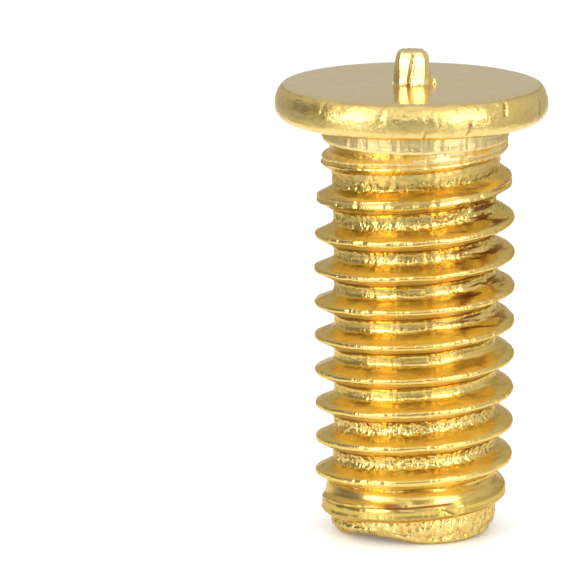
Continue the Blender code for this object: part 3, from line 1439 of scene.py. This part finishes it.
@dataclass(frozen=True)
class RolledThreadBrass(Finish):
    """Rolled thread: dented crests, drawn flanks, torn roots and brown stains on the right.

    The lower flanks are painted paler as light and the tops of the roots darker as shade. The upper
    flanks are darker, partly as patina and partly as painted shade.

    A span gives the value where a mask is 0 and the value where it is 1. A gap is the
    distance from the nearest crest, and an offset the height above it.
    """

    name: str = "rolled_thread_brass"
    roughness: float = 0.24

    # Where the surfaces lie
    crest_gaps: Span = (0.10, 0.05)
    land_turns: Span = (1.15, 0.95)
    land_offsets: tuple[Span, Span] = ((-0.15, -0.12), (0.16, 0.10))
    root_radii: Span = (1.76, 1.69)
    root_gaps: Span = (0.16, 0.24)
    root_top_offsets: Span = (0.0, -0.1)
    root_patches: Span = (0.5, 0.6)
    upper_offsets: Span = (0.07, 0.12)
    upper_radii: tuple[Span, Span] = ((1.98, 1.92), (1.66, 1.72))
    lower_offsets: Span = (-0.04, -0.10)
    lower_radii: Span = (1.70, 1.76)
    thread_start: Span = (1.0, 1.2)
    thread_end: Span = (7.75, 7.5)
    neck_start: Span = (7.6, 8.0)
    torn_top: Span = (5.6, 6.4)
    torn_level: float = 0.4
    torn_turns: tuple[Span, Span] = ((1.2, 1.5), (3.0, 2.7))

    # The brown: stains in patches on the right, brown along the fold on the land, partly dirt in
    # the fold and partly painted shade in it, and a blob by it
    patches: Grain = Grain((0.6, 0.6, 0.07), 3.0, 4.9)
    patch_levels: Span = (0.50, 0.62)
    stain_gaps: Span = (0.07, 0.13)
    stain_angle: float = -35.0
    stain_turns: Span = (48.0, 12.0)
    stain_heights: tuple[Span, Span] = ((3.6, 4.6), (7.6, 6.9))
    stain_level: float = 0.2
    fold_offset: float = 0.15
    fold_gaps: Span = (0.03, 0.012)
    fold_turns: tuple[Span, Span] = ((0.69, 0.715), (0.83, 0.815))
    fold_stain: float = 0.9
    blob_turn: float = 0.712
    blob_turn_gaps: Span = (0.02, 0.006)
    blob_offset: float = 0.2
    blob_offset_gaps: Span = (0.07, 0.03)
    blob_stain: float = 0.8

    # Relief: dents in the crests, tears in the roots, drawn lines coarse and fine
    dents: Grain = Grain((0.085, 0.085, 0.4), 2.0, 6.2)
    crest_dent_depth: float = 0.02
    root_tear_depth: float = 0.045
    line_depth: float = 0.006
    neck_line_depth: float = 0.03
    fine_depth: float = 0.0015
    fine_root_depth: float = 0.004
    fine_neck_depth: float = 0.006

    def find_stain(self, nodes: Nodes, places: bpy.types.Node, patches: Value) -> Value:
        """Find the brown: stains in patches, and the fold's brown that is partly painted shade.

        Args:
            nodes: The material's nodes.
            places: The node with the places on the stud.
            patches: The noise of the patches.

        Returns:
            A mask that is 1 where the brown is strongest.
        """
        angle, height = places.outputs["Angle"], places.outputs["Height"]
        offset, turn = places.outputs["Offset"], places.outputs["Turn"]
        on_right = nodes.ease(nodes.gap(angle, self.stain_angle), *self.stain_turns)
        stained = nodes.product(on_right, nodes.within(height, *self.stain_heights))
        stained = nodes.product(stained, 1.0 - self.stain_level)
        patched = nodes.product(
            nodes.ease(patches, *self.patch_levels),
            nodes.ease(nodes.maths("ABSOLUTE", offset), *self.stain_gaps),
            nodes.total(self.stain_level, stained),
        )
        fold = nodes.product(
            nodes.ease(nodes.gap(offset, self.fold_offset), *self.fold_gaps),
            nodes.within(turn, *self.fold_turns),
            self.fold_stain,
        )
        blob = nodes.product(
            nodes.ease(nodes.gap(turn, self.blob_turn), *self.blob_turn_gaps),
            nodes.ease(nodes.gap(offset, self.blob_offset), *self.blob_offset_gaps),
            self.blob_stain,
        )
        return nodes.total(patched, fold, blob)

    def make(self, groups: SharedGroups) -> bpy.types.Material:
        """Make the material.

        Args:
            groups: The shared node groups.

        Returns:
            The material.
        """
        material, nodes, shader = self.open_material()
        places = nodes.use(groups.place_group)
        point, radius, _, height, offset, turn = places.outputs
        from_crest = nodes.maths("ABSOLUTE", offset)
        thread_end = nodes.ease(height, *self.thread_end)
        crest = nodes.ease(from_crest, *self.crest_gaps)
        land = nodes.product(
            nodes.ease(turn, *self.land_turns), nodes.within(offset, *self.land_offsets)
        )
        root = nodes.product(
            nodes.ease(radius, *self.root_radii), nodes.ease(from_crest, *self.root_gaps)
        )
        upper_flank = nodes.product(
            nodes.ease(offset, *self.upper_offsets),
            nodes.within(radius, *self.upper_radii),
            thread_end,
        )
        lower_flank = nodes.product(
            nodes.ease(offset, *self.lower_offsets),
            nodes.ease(radius, *self.lower_radii),
            nodes.ease(height, *self.thread_start),
            thread_end,
        )
        torn_high = nodes.ease(height, *self.torn_top, self.torn_level, 1.0)
        torn = nodes.total(torn_high, nodes.within(height, *self.torn_turns))
        torn_root = nodes.product(root, torn)
        neck = nodes.ease(height, *self.neck_start)
        patches = nodes.noise(point, self.patches)
        dull_root = nodes.product(root, nodes.ease(patches, *self.root_patches))
        root_top = nodes.product(root, nodes.ease(offset, *self.root_top_offsets))
        stain = self.find_stain(nodes, places, patches)
        surfaces = (
            Surface(1.0, warmth=0.6, rough=self.roughness),
            Surface(crest, warmth=-0.15, tarnish=0.3),
            Surface(land, tarnish=0.6),
            # Olive on the upper flanks: partly patina in the groove, partly painted shade
            Surface(upper_flank, tarnish=0.3),
            # Paler lower flanks: painted light
            Surface(lower_flank, warmth=-0.5, rough=0.22),
            Surface(root, warmth=0.3),
            Surface(dull_root, tarnish=0.3),
            # Olive on the upper half of the root, under the crest above: painted shade
            Surface(root_top, tarnish=0.5),
            Surface(torn_root, bare=0.15),
            Surface(neck, warmth=-0.6, bare=0.4, rough=0.1),
            # Brown stains, with the fold's brown partly painted shade
            Surface(stain, stain=1.0, rough=0.15),
        )
        lines = nodes.use(groups.line_group, {"Point": point})
        lumps = nodes.use(groups.lump_group, {"Point": point}).outputs["Lumps"]
        coarse_depth = nodes.total(self.line_depth, nodes.product(neck, self.neck_line_depth))
        normal = nodes.relief(lines.outputs["Coarse"], coarse_depth)
        dents = nodes.noise(point, self.dents)
        normal = nodes.relief(dents, nodes.product(crest, self.crest_dent_depth), normal)
        normal = nodes.relief(lumps, nodes.product(torn_root, self.root_tear_depth), normal)
        fine_depth = nodes.total(
            self.fine_depth,
            nodes.product(root, self.fine_root_depth),
            nodes.product(neck, self.fine_neck_depth),
        )
        results = {
            "Base Color": self.colour(nodes, groups, point, surfaces),
            "Roughness": self.add_up(nodes, surfaces, Quality.ROUGH),
            "Normal": nodes.relief(lines.outputs["Fine"], fine_depth, normal),
        }
        nodes.link(shader, results)
        return material


@dataclass(frozen=True)
class UpsetHeadBrass(Finish):
    """Upset head: satin weld face, mottled rim with brown painted shade in its crease and cracks,
    bright pinched tip with brown painted shade down its crease.
    """

    name: str = "upset_head_brass"
    roughness: float = 0.3
    edge_tint: Colour = (1.0, 0.97, 0.92, 1.0)
    face_roughness: float = 0.17
    tip_roughness: float = 0.28
    scratch_roughness: float = 0.08

    # Where the surfaces lie, measured from the crease or the weld face where they follow it
    rim_from_crease: Span = (-0.02, 0.04)
    face_from_crease: Span = (0.01, -0.02)
    face_from_weld_face: Span = (-0.05, -0.03)
    crease_gaps: Span = (0.045, 0.01)
    crease_heights: Span = (9.1, 9.15)
    tip_radii: Span = (0.44, 0.39)
    tip_from_weld_face: Span = (-0.005, 0.01)
    foot_radii: Span = (0.52, 0.40)
    foot_from_weld_face: tuple[Span, Span] = ((0.05, -0.01), (-0.1, -0.05))

    # Painted shade in the rim's crease, in its cracks and down the tip's crease, and brown patches
    # on the rim
    patches: Grain = Grain((0.35, 0.35, 0.12), 3.0, 8.8)
    crease_patches: tuple[float, ...] = (0.35, 0.65, 0.12, 0.35)
    rim_patches: Span = (0.60, 0.75)
    tip_crease_top: float = 9.82
    tip_crease_width: float = 9.0
    crack_width: float = 0.9
    crack_shade: float = 20.0
    tip_crease_shade: float = 0.9

    # Relief: mottled rim, lumps, fine haze and handling scratches
    mottle: Grain = Grain((0.24, 0.24, 0.16), 3.0, 5.5)
    mottle_depth: float = 0.032
    tip_depth: float = 0.008
    rim_lump_depth: float = 0.006
    haze: Grain = Grain((0.09, 0.09, 0.09), 3.0, 4.4)
    haze_depth: float = 0.0005
    rim_haze_depth: float = 0.003
    scratch_depth: float = 0.0012

    def shade_lines(
        self, nodes: Nodes, head: FlangeAndTip, side: Value, back: Value, height: Value
    ) -> bpy.types.NodeSocket:
        """Find the rim's small cracks and the tip's front crease, where shade is painted.

        Args:
            nodes: The material's nodes.
            head: The head that has the cracks.
            side: Distance to the right of the head's axis, in millimetres.
            back: Distance behind it.
            height: Height in millimetres.

        Returns:
            A mask that is 1 where the painted shade is darkest.
        """
        angle = nodes.product(nodes.maths("ARCTAN2", back, side), 360.0 / math.tau)
        start, lean, *_ = head.tip_creases[0]
        slope = lean / head.tip_length
        bottom = head.weld_face
        lines = [(start, slope, bottom, self.tip_crease_top, self.tip_crease_width, self.tip_crease_shade)]
        for start, low, high, depth in head.rim_cracks:
            # Deeper cracks get darker painted shade
            line_shade = min(1.0, depth * self.crack_shade)
            lines.append((start, head.crack_slant, low, high, self.crack_width, line_shade))
        masks = []
        for start, slope, low, high, width, line_shade in lines:
            slant = nodes.product(nodes.maths("SUBTRACT", height, low), slope)
            gap = nodes.maths("SUBTRACT", angle, nodes.total(slant, start))
            across = nodes.ease(nodes.maths("ABSOLUTE", gap), width, width / 3)
            ends = (low - head.crack_fade, low), (high + head.crack_fade, high)
            masks.append(nodes.product(across, nodes.within(height, *ends), line_shade))
        return nodes.total(*masks)

    def make(self, groups: SharedGroups) -> bpy.types.Material:
        """Make the material.

        Args:
            groups: The shared node groups.

        Returns:
            The material.
        """
        head = groups.head
        material, nodes, shader = self.open_material()
        places = nodes.use(groups.place_group)
        point, height = places.outputs["Point"], places.outputs["Height"]
        above_face = nodes.maths("SUBTRACT", height, head.weld_face)
        apart = nodes.add("ShaderNodeSeparateXYZ", {0: point})
        side = nodes.maths("SUBTRACT", apart.outputs["X"], head.axis_offset)
        back = apart.outputs["Y"]
        radius = nodes.reach(side, back)
        past_crease = nodes.maths("SUBTRACT", radius, head.crease_radius)
        rim = nodes.ease(past_crease, *self.rim_from_crease)
        tip = nodes.product(
            nodes.ease(radius, *self.tip_radii), nodes.ease(above_face, *self.tip_from_weld_face)
        )
        face = nodes.product(
            nodes.ease(past_crease, *self.face_from_crease),
            nodes.ease(above_face, *self.face_from_weld_face),
            nodes.maths("SUBTRACT", 1.0, tip),
        )
        crease = nodes.product(
            nodes.ease(nodes.maths("ABSOLUTE", past_crease), *self.crease_gaps),
            nodes.ease(height, *self.crease_heights),
        )
        foot = nodes.product(
            nodes.ease(radius, *self.foot_radii),
            nodes.within(above_face, *self.foot_from_weld_face),
        )
        patches = nodes.noise(point, self.patches)
        shaded_crease = nodes.product(crease, nodes.ease(patches, *self.crease_patches))
        dirty_rim = nodes.product(rim, nodes.ease(patches, *self.rim_patches))
        line_shade = self.shade_lines(nodes, head, side, back, height)
        line_shade = nodes.product(line_shade, nodes.total(rim, tip))
        scratches = nodes.use(groups.scratch_group, {"Point": point}).outputs["Mask"]
        scratched = nodes.product(scratches, face)
        surfaces = (
            Surface(1.0, warmth=0.25, rough=self.roughness),
            Surface(
                face,
                warmth=-0.35,
                bare=0.35,
                tarnish=0.05,
                rough=self.face_roughness - self.roughness,
            ),
            Surface(rim, warmth=-0.15, tarnish=0.2),
            Surface(tip, warmth=-0.2, bare=0.25, rough=self.tip_roughness - self.roughness),
            Surface(foot, stain=0.12),
            # Brown in the crease between face and rim: painted shade
            Surface(shaded_crease, stain=1.0),
            Surface(dirty_rim, stain=0.3),
            # Brown in the rim's cracks and down the tip's crease: painted shade
            Surface(line_shade, stain=0.7),
            Surface(scratched, rough=self.scratch_roughness),
        )
        mottle = nodes.noise(point, self.mottle)
        normal = nodes.relief(mottle, nodes.product(rim, self.mottle_depth))
        lumps = nodes.use(groups.lump_group, {"Point": point}).outputs["Lumps"]
        lump_depth = nodes.total(
            nodes.product(tip, self.tip_depth), nodes.product(rim, self.rim_lump_depth)
        )
        normal = nodes.relief(lumps, lump_depth, normal)
        haze = nodes.noise(point, self.haze)
        haze_depth = nodes.total(self.haze_depth, nodes.product(rim, self.rim_haze_depth))
        normal = nodes.relief(haze, haze_depth, normal)
        results = {
            "Base Color": self.colour(nodes, groups, point, surfaces),
            "Roughness": self.add_up(nodes, surfaces, Quality.ROUGH),
            "Normal": nodes.relief(scratches, nodes.product(face, -self.scratch_depth), normal),
        }
        nodes.link(shader, results)
        return material


@dataclass(frozen=True)
class CroppedEndBrass(Finish):
    """Cropped end: pale torn metal with sparkling lumps whose tops are painted paler, partly as
    bared metal and partly as painted glints, whose hollows are painted brown as shade, and a dull
    dish.
    """

    name: str = "cropped_end_brass"
    roughness: float = 0.18
    high_lumps: Span = (0.4, 0.6)
    low_lumps: Span = (0.42, 0.3)
    dish_radii: Span = (1.25, 1.05)
    tear_depth: float = 0.045
    line_depth: float = 0.004

    def make(self, groups: SharedGroups) -> bpy.types.Material:
        """Make the material.

        Args:
            groups: The shared node groups.

        Returns:
            The material.
        """
        material, nodes, shader = self.open_material()
        places = nodes.use(groups.place_group)
        point = places.outputs["Point"]
        lumps = nodes.use(groups.lump_group, {"Point": point}).outputs["Lumps"]
        surfaces = (
            Surface(1.0, warmth=0.5, tarnish=0.5),
            # Paler lump tops: partly bared metal, partly painted glints
            Surface(nodes.ease(lumps, *self.high_lumps), warmth=-0.45, bare=0.4),
            # Brown in the hollows between lumps: painted shade
            Surface(nodes.ease(lumps, *self.low_lumps), stain=0.4),
            Surface(nodes.ease(places.outputs["Radius"], *self.dish_radii), tarnish=0.2),
        )
        normal = nodes.relief(lumps, self.tear_depth)
        fine_lines = nodes.use(groups.line_group, {"Point": point}).outputs["Fine"]
        results = {
            "Base Color": self.colour(nodes, groups, point, surfaces),
            "Normal": nodes.relief(fine_lines, self.line_depth, normal),
        }
        nodes.link(shader, results)
        return material


# The whole stud


@dataclass
class WeldStud:
    """The stud as one closed body, dressed in its three finishes."""

    shank: ThreadedShank
    head: FlangeAndTip
    shade_angle: float = 40.0
    lip_limit: float = 1.72
    head_margin: float = 0.02
    step_margin: float = 0.03

    def build(self) -> bpy.types.Object:
        """Model the shank and the head and join them at the neck.

        Returns:
            The closed body of the stud.
        """
        shank = self.shank.build()
        head = self.head.build()
        end_face = self.shank.end_face()
        take_up(shank)
        head.select_set(True)
        end_face.select_set(True)
        bpy.ops.object.join()
        stud = bpy.context.object
        stud.name = stud.data.name = "stud_body"
        bridge_openings(stud, Keep.BELOW, self.shank.top / 2)
        bridge_openings(stud, Keep.ABOVE, self.shank.top / 2)
        with edit_mode(stud):
            bpy.ops.mesh.select_all(action="SELECT")
            bpy.ops.mesh.normals_make_consistent(inside=False)
        take_up(stud)
        bpy.ops.object.shade_smooth_by_angle(angle=math.radians(self.shade_angle))
        return stud

    def dress(self, stud: bpy.types.Object) -> None:
        """Give each zone of the stud its finish.

        Args:
            stud: The closed body.
        """
        groups = SharedGroups(self.shank, self.head, BrassColours())
        stud.data.materials.clear()
        for finish in (RolledThreadBrass(), UpsetHeadBrass(), CroppedEndBrass()):
            stud.data.materials.append(finish.make(groups))
        faces = stud.data.polygons
        middles = np.empty(len(faces) * 3, np.float32)
        faces.foreach_get("center", middles)
        middles = middles.reshape(-1, 3).astype(np.float64) / MM
        places = self.shank.places(middles)
        zones = np.full(len(faces), Zone.ROLLED_THREAD.value)
        underside = self.head.weld_face - self.head.thickness - self.head_margin
        zones[places.height > underside] = Zone.UPSET_HEAD.value
        land_crest = self.shank.land_crest
        under_step = places.offset < self.shank.land_step - self.step_margin
        below_land = (places.crest < land_crest) | ((places.crest == land_crest) & under_step)
        zones[below_land & (places.radius < self.lip_limit)] = Zone.CROPPED_END.value
        faces.foreach_set("material_index", zones.astype(np.int32))
        stud.data.update()


# The studio


@dataclass(frozen=True)
class SoftBox:
    """A soft panel lamp that faces the stud.

    The azimuth runs from the camera's side, positive to the right, and the elevation
    from the floor.
    """

    name: str
    azimuth: float
    elevation: float
    distance: float
    width: float
    height: float
    radiance: float

    def place(self, target: Vector) -> bpy.types.Object:
        """Add the lamp and turn it to the target.

        Args:
            target: The point that the lamp faces, in metres.

        Returns:
            The lamp.
        """
        data = bpy.data.lights.new(self.name, "AREA")
        data.shape = "RECTANGLE"
        data.size = self.width * MM
        data.size_y = self.height * MM
        data.energy = self.radiance * math.pi * data.size * data.size_y
        lamp = bpy.data.objects.new(self.name, data)
        bpy.context.scene.collection.objects.link(lamp)
        azimuth = math.radians(self.azimuth)
        elevation = math.radians(self.elevation)
        direction = Vector(
            (
                math.sin(azimuth) * math.cos(elevation),
                -math.cos(azimuth) * math.cos(elevation),
                math.sin(elevation),
            )
        )
        lamp.location = target + direction * self.distance * MM
        lamp.rotation_euler = direction.to_track_quat("Z", "Y").to_euler()
        return lamp


@dataclass(frozen=True)
class PhotoCamera:
    """A long lens that looks slightly down on the stud, as the photograph does."""

    frame_pixels: float = 576.0
    middle_height: float = 4.692
    middle_pixel: tuple[float, float] = (414.47, 302.15)
    pixels_per_mm: float = 49.2295
    distance: float = 125.0
    elevation: float = math.degrees(0.2072)
    roll: float = math.degrees(0.0037)
    sensor: float = 36.0
    farthest: float = 10000.0

    def place(self) -> bpy.types.Object:
        """Add the camera, aimed so that the stud's middle falls on its pixel.

        Returns:
            The camera.
        """
        focal_pixels = self.pixels_per_mm * self.distance
        data = bpy.data.cameras.new("photo_camera")
        data.sensor_width = self.sensor
        data.lens = self.sensor * focal_pixels / self.frame_pixels
        data.clip_start = MM
        data.clip_end = self.farthest * MM
        camera = bpy.data.objects.new("photo_camera", data)
        bpy.context.scene.collection.objects.link(camera)
        elevation = math.radians(self.elevation)
        centre = self.frame_pixels / 2
        pan = math.atan((self.middle_pixel[0] - centre) / focal_pixels)
        tilt = math.atan((self.middle_pixel[1] - centre) / focal_pixels)
        middle = Vector((0.0, 0.0, self.middle_height * MM))
        back = Vector((0.0, -math.cos(elevation), math.sin(elevation)))
        look_down = Euler((math.pi / 2 - elevation + tilt, 0.0, 0.0)).to_matrix()
        swing = Matrix.Rotation(pan, 3, back.cross(Vector((1.0, 0.0, 0.0))).normalized())
        twist = Matrix.Rotation(math.radians(self.roll), 3, "Z")
        camera.location = middle + back * self.distance * MM
        camera.rotation_euler = (swing @ look_down @ twist).to_euler()
        bpy.context.scene.camera = camera
        return camera


@dataclass(frozen=True)
class Studio:
    """Pale floor with a painted pool of light round the stud and painted shade beside it and in
    front, soft room, a strip and a panel on each side of the camera, a front band.
    """

    floor_size: float = 3000.0
    # A painted pool of light round the stud, and painted shade beside it and in front
    lit_pool_colour: Colour = (0.90, 0.90, 0.905, 1.0)
    shaded_floor_colour: Colour = (0.60, 0.60, 0.60, 1.0)
    near_sides: Span = (15.0, 9.0)
    near_backs: Span = (-12.0, -6.0)
    near_spread: float = 0.15
    pool_glow: float = 0.38
    # Less glow at the stud's foot: painted shadow, deepening the real one
    foot_shadow_reach: Span = (1.2, 2.4)
    foot_shadow_glow: float = 0.3
    floor_roughness: float = 0.2
    room_level: float = 0.56
    room_left: float = -0.35
    left_sides: Span = (-0.7, -0.95)
    room_right: float = 0.2
    right_sides: Span = (0.5, 1.0)
    room_top: float = 0.6
    dark_front: float = 0.55
    front_ahead: Span = (0.90, 0.985)
    target_height: float = 5.0
    boxes: tuple[SoftBox, ...] = (
        SoftBox("left_strip", -49.0, 12.0, 80.0, 44.0, 24.0, 6.0),
        SoftBox("right_strip", 44.0, 12.0, 80.0, 40.0, 24.0, 5.5),
        SoftBox("left_panel", -49.0, 38.0, 80.0, 44.0, 50.0, 1.5),
        SoftBox("right_panel", 44.0, 38.0, 80.0, 44.0, 50.0, 1.5),
        SoftBox("front_band", 2.0, 30.0, 420.0, 300.0, 120.0, 1.0),
    )

    def floor(self) -> bpy.types.Object:
        """Lay the floor: a painted pool of light, white and glowing round the stud and behind it,
        painted shade, darker beside it and in front, and a painted shadow where the glow weakens at
        the stud's foot.

        Returns:
            The floor.
        """
        deselect_all()
        bpy.ops.mesh.primitive_plane_add(size=self.floor_size * MM)
        floor = bpy.context.object
        floor.name = floor.data.name = "floor"
        material = bpy.data.materials.new("white_floor")
        material.use_nodes = True
        nodes = Nodes(material.node_tree)
        shader = material.node_tree.nodes["Principled BSDF"]
        shader.inputs["Roughness"].default_value = self.floor_roughness
        shader.inputs["Emission Color"].default_value = (1.0, 1.0, 1.0, 1.0)
        object_point = nodes.add("ShaderNodeTexCoord").outputs["Object"]
        apart = nodes.add("ShaderNodeSeparateXYZ", {0: nodes.stretch(object_point, (MM, MM, MM))})
        side, back, _ = apart.outputs
        behind = nodes.maths("MAXIMUM", back, 0.0)
        spread = nodes.product(behind, self.near_spread)
        across = nodes.maths("SUBTRACT", nodes.maths("ABSOLUTE", side), spread)
        # The painted pool of light, fading to painted shade beside the stud and in front
        lit_pool = nodes.product(
            nodes.ease(across, *self.near_sides), nodes.ease(back, *self.near_backs)
        )
        # Less glow at the stud's foot: painted shadow, deepening the real one
        foot = nodes.ease(nodes.reach(side, back), *self.foot_shadow_reach, self.foot_shadow_glow, 1.0)
        path = nodes.add("ShaderNodeLightPath")
        seen = nodes.maths(
            "MAXIMUM", path.outputs["Is Camera Ray"], path.outputs["Is Glossy Ray"]
        )
        results = {
            "Base Color": nodes.blend(lit_pool, self.shaded_floor_colour, self.lit_pool_colour),
            "Emission Strength": nodes.product(seen, lit_pool, foot, self.pool_glow),
        }
        nodes.link(shader, results)
        floor.data.materials.append(material)
        return floor

    def room(self) -> None:
        """Surround the stud with a room, lighter above and on the right, darker on the left.

        The front is dark round the camera, as it is behind a photographer's lens.
        """
        world = bpy.data.worlds.new("room")
        world.use_nodes = True
        nodes = Nodes(world.node_tree)
        direction = nodes.add("ShaderNodeTexCoord").outputs["Generated"]
        apart = nodes.add("ShaderNodeSeparateXYZ", {0: direction})
        side, back, up = apart.outputs
        left = nodes.product(nodes.ease(side, *self.left_sides), self.room_left)
        right = nodes.product(nodes.ease(side, *self.right_sides), self.room_right)
        top = nodes.product(up, up, up, up, self.room_top)
        towards = nodes.product(back, -1.0)
        front = nodes.ease(towards, *self.front_ahead, 1.0, 1.0 - self.dark_front)
        strength = nodes.product(nodes.total(self.room_level, left, right, top), front)
        shade = world.node_tree.nodes["Background"]
        shade.inputs["Color"].default_value = (1.0, 1.0, 1.0, 1.0)
        nodes.link(shade, {"Strength": strength})
        bpy.context.scene.world = world

    def build(self) -> None:
        """Set up the floor, the room, the lamps and the colour settings."""
        self.floor()
        self.room()
        target = Vector((0.0, 0.0, self.target_height * MM))
        for box in self.boxes:
            box.place(target)
        bpy.context.scene.view_settings.view_transform = "Standard"


def main() -> None:
    """Build the stud and its studio, hide the imported part that the stud replaces and attach the
    stud to the root body.
    """
    stud = WeldStud(ThreadedShank(), FlangeAndTip())
    body = stud.build()
    stud.dress(body)
    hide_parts(NODE)
    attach(body, "root")
    triangles = len(body.data.loop_triangles)
    LOG.info("%s: %d faces, %d triangles", body.name, len(body.data.polygons), triangles)
    Studio().build()
    PhotoCamera().place()


if __name__ == "__main__":
    logging.basicConfig(level=logging.INFO, format="%(name)s %(message)s")
    main()
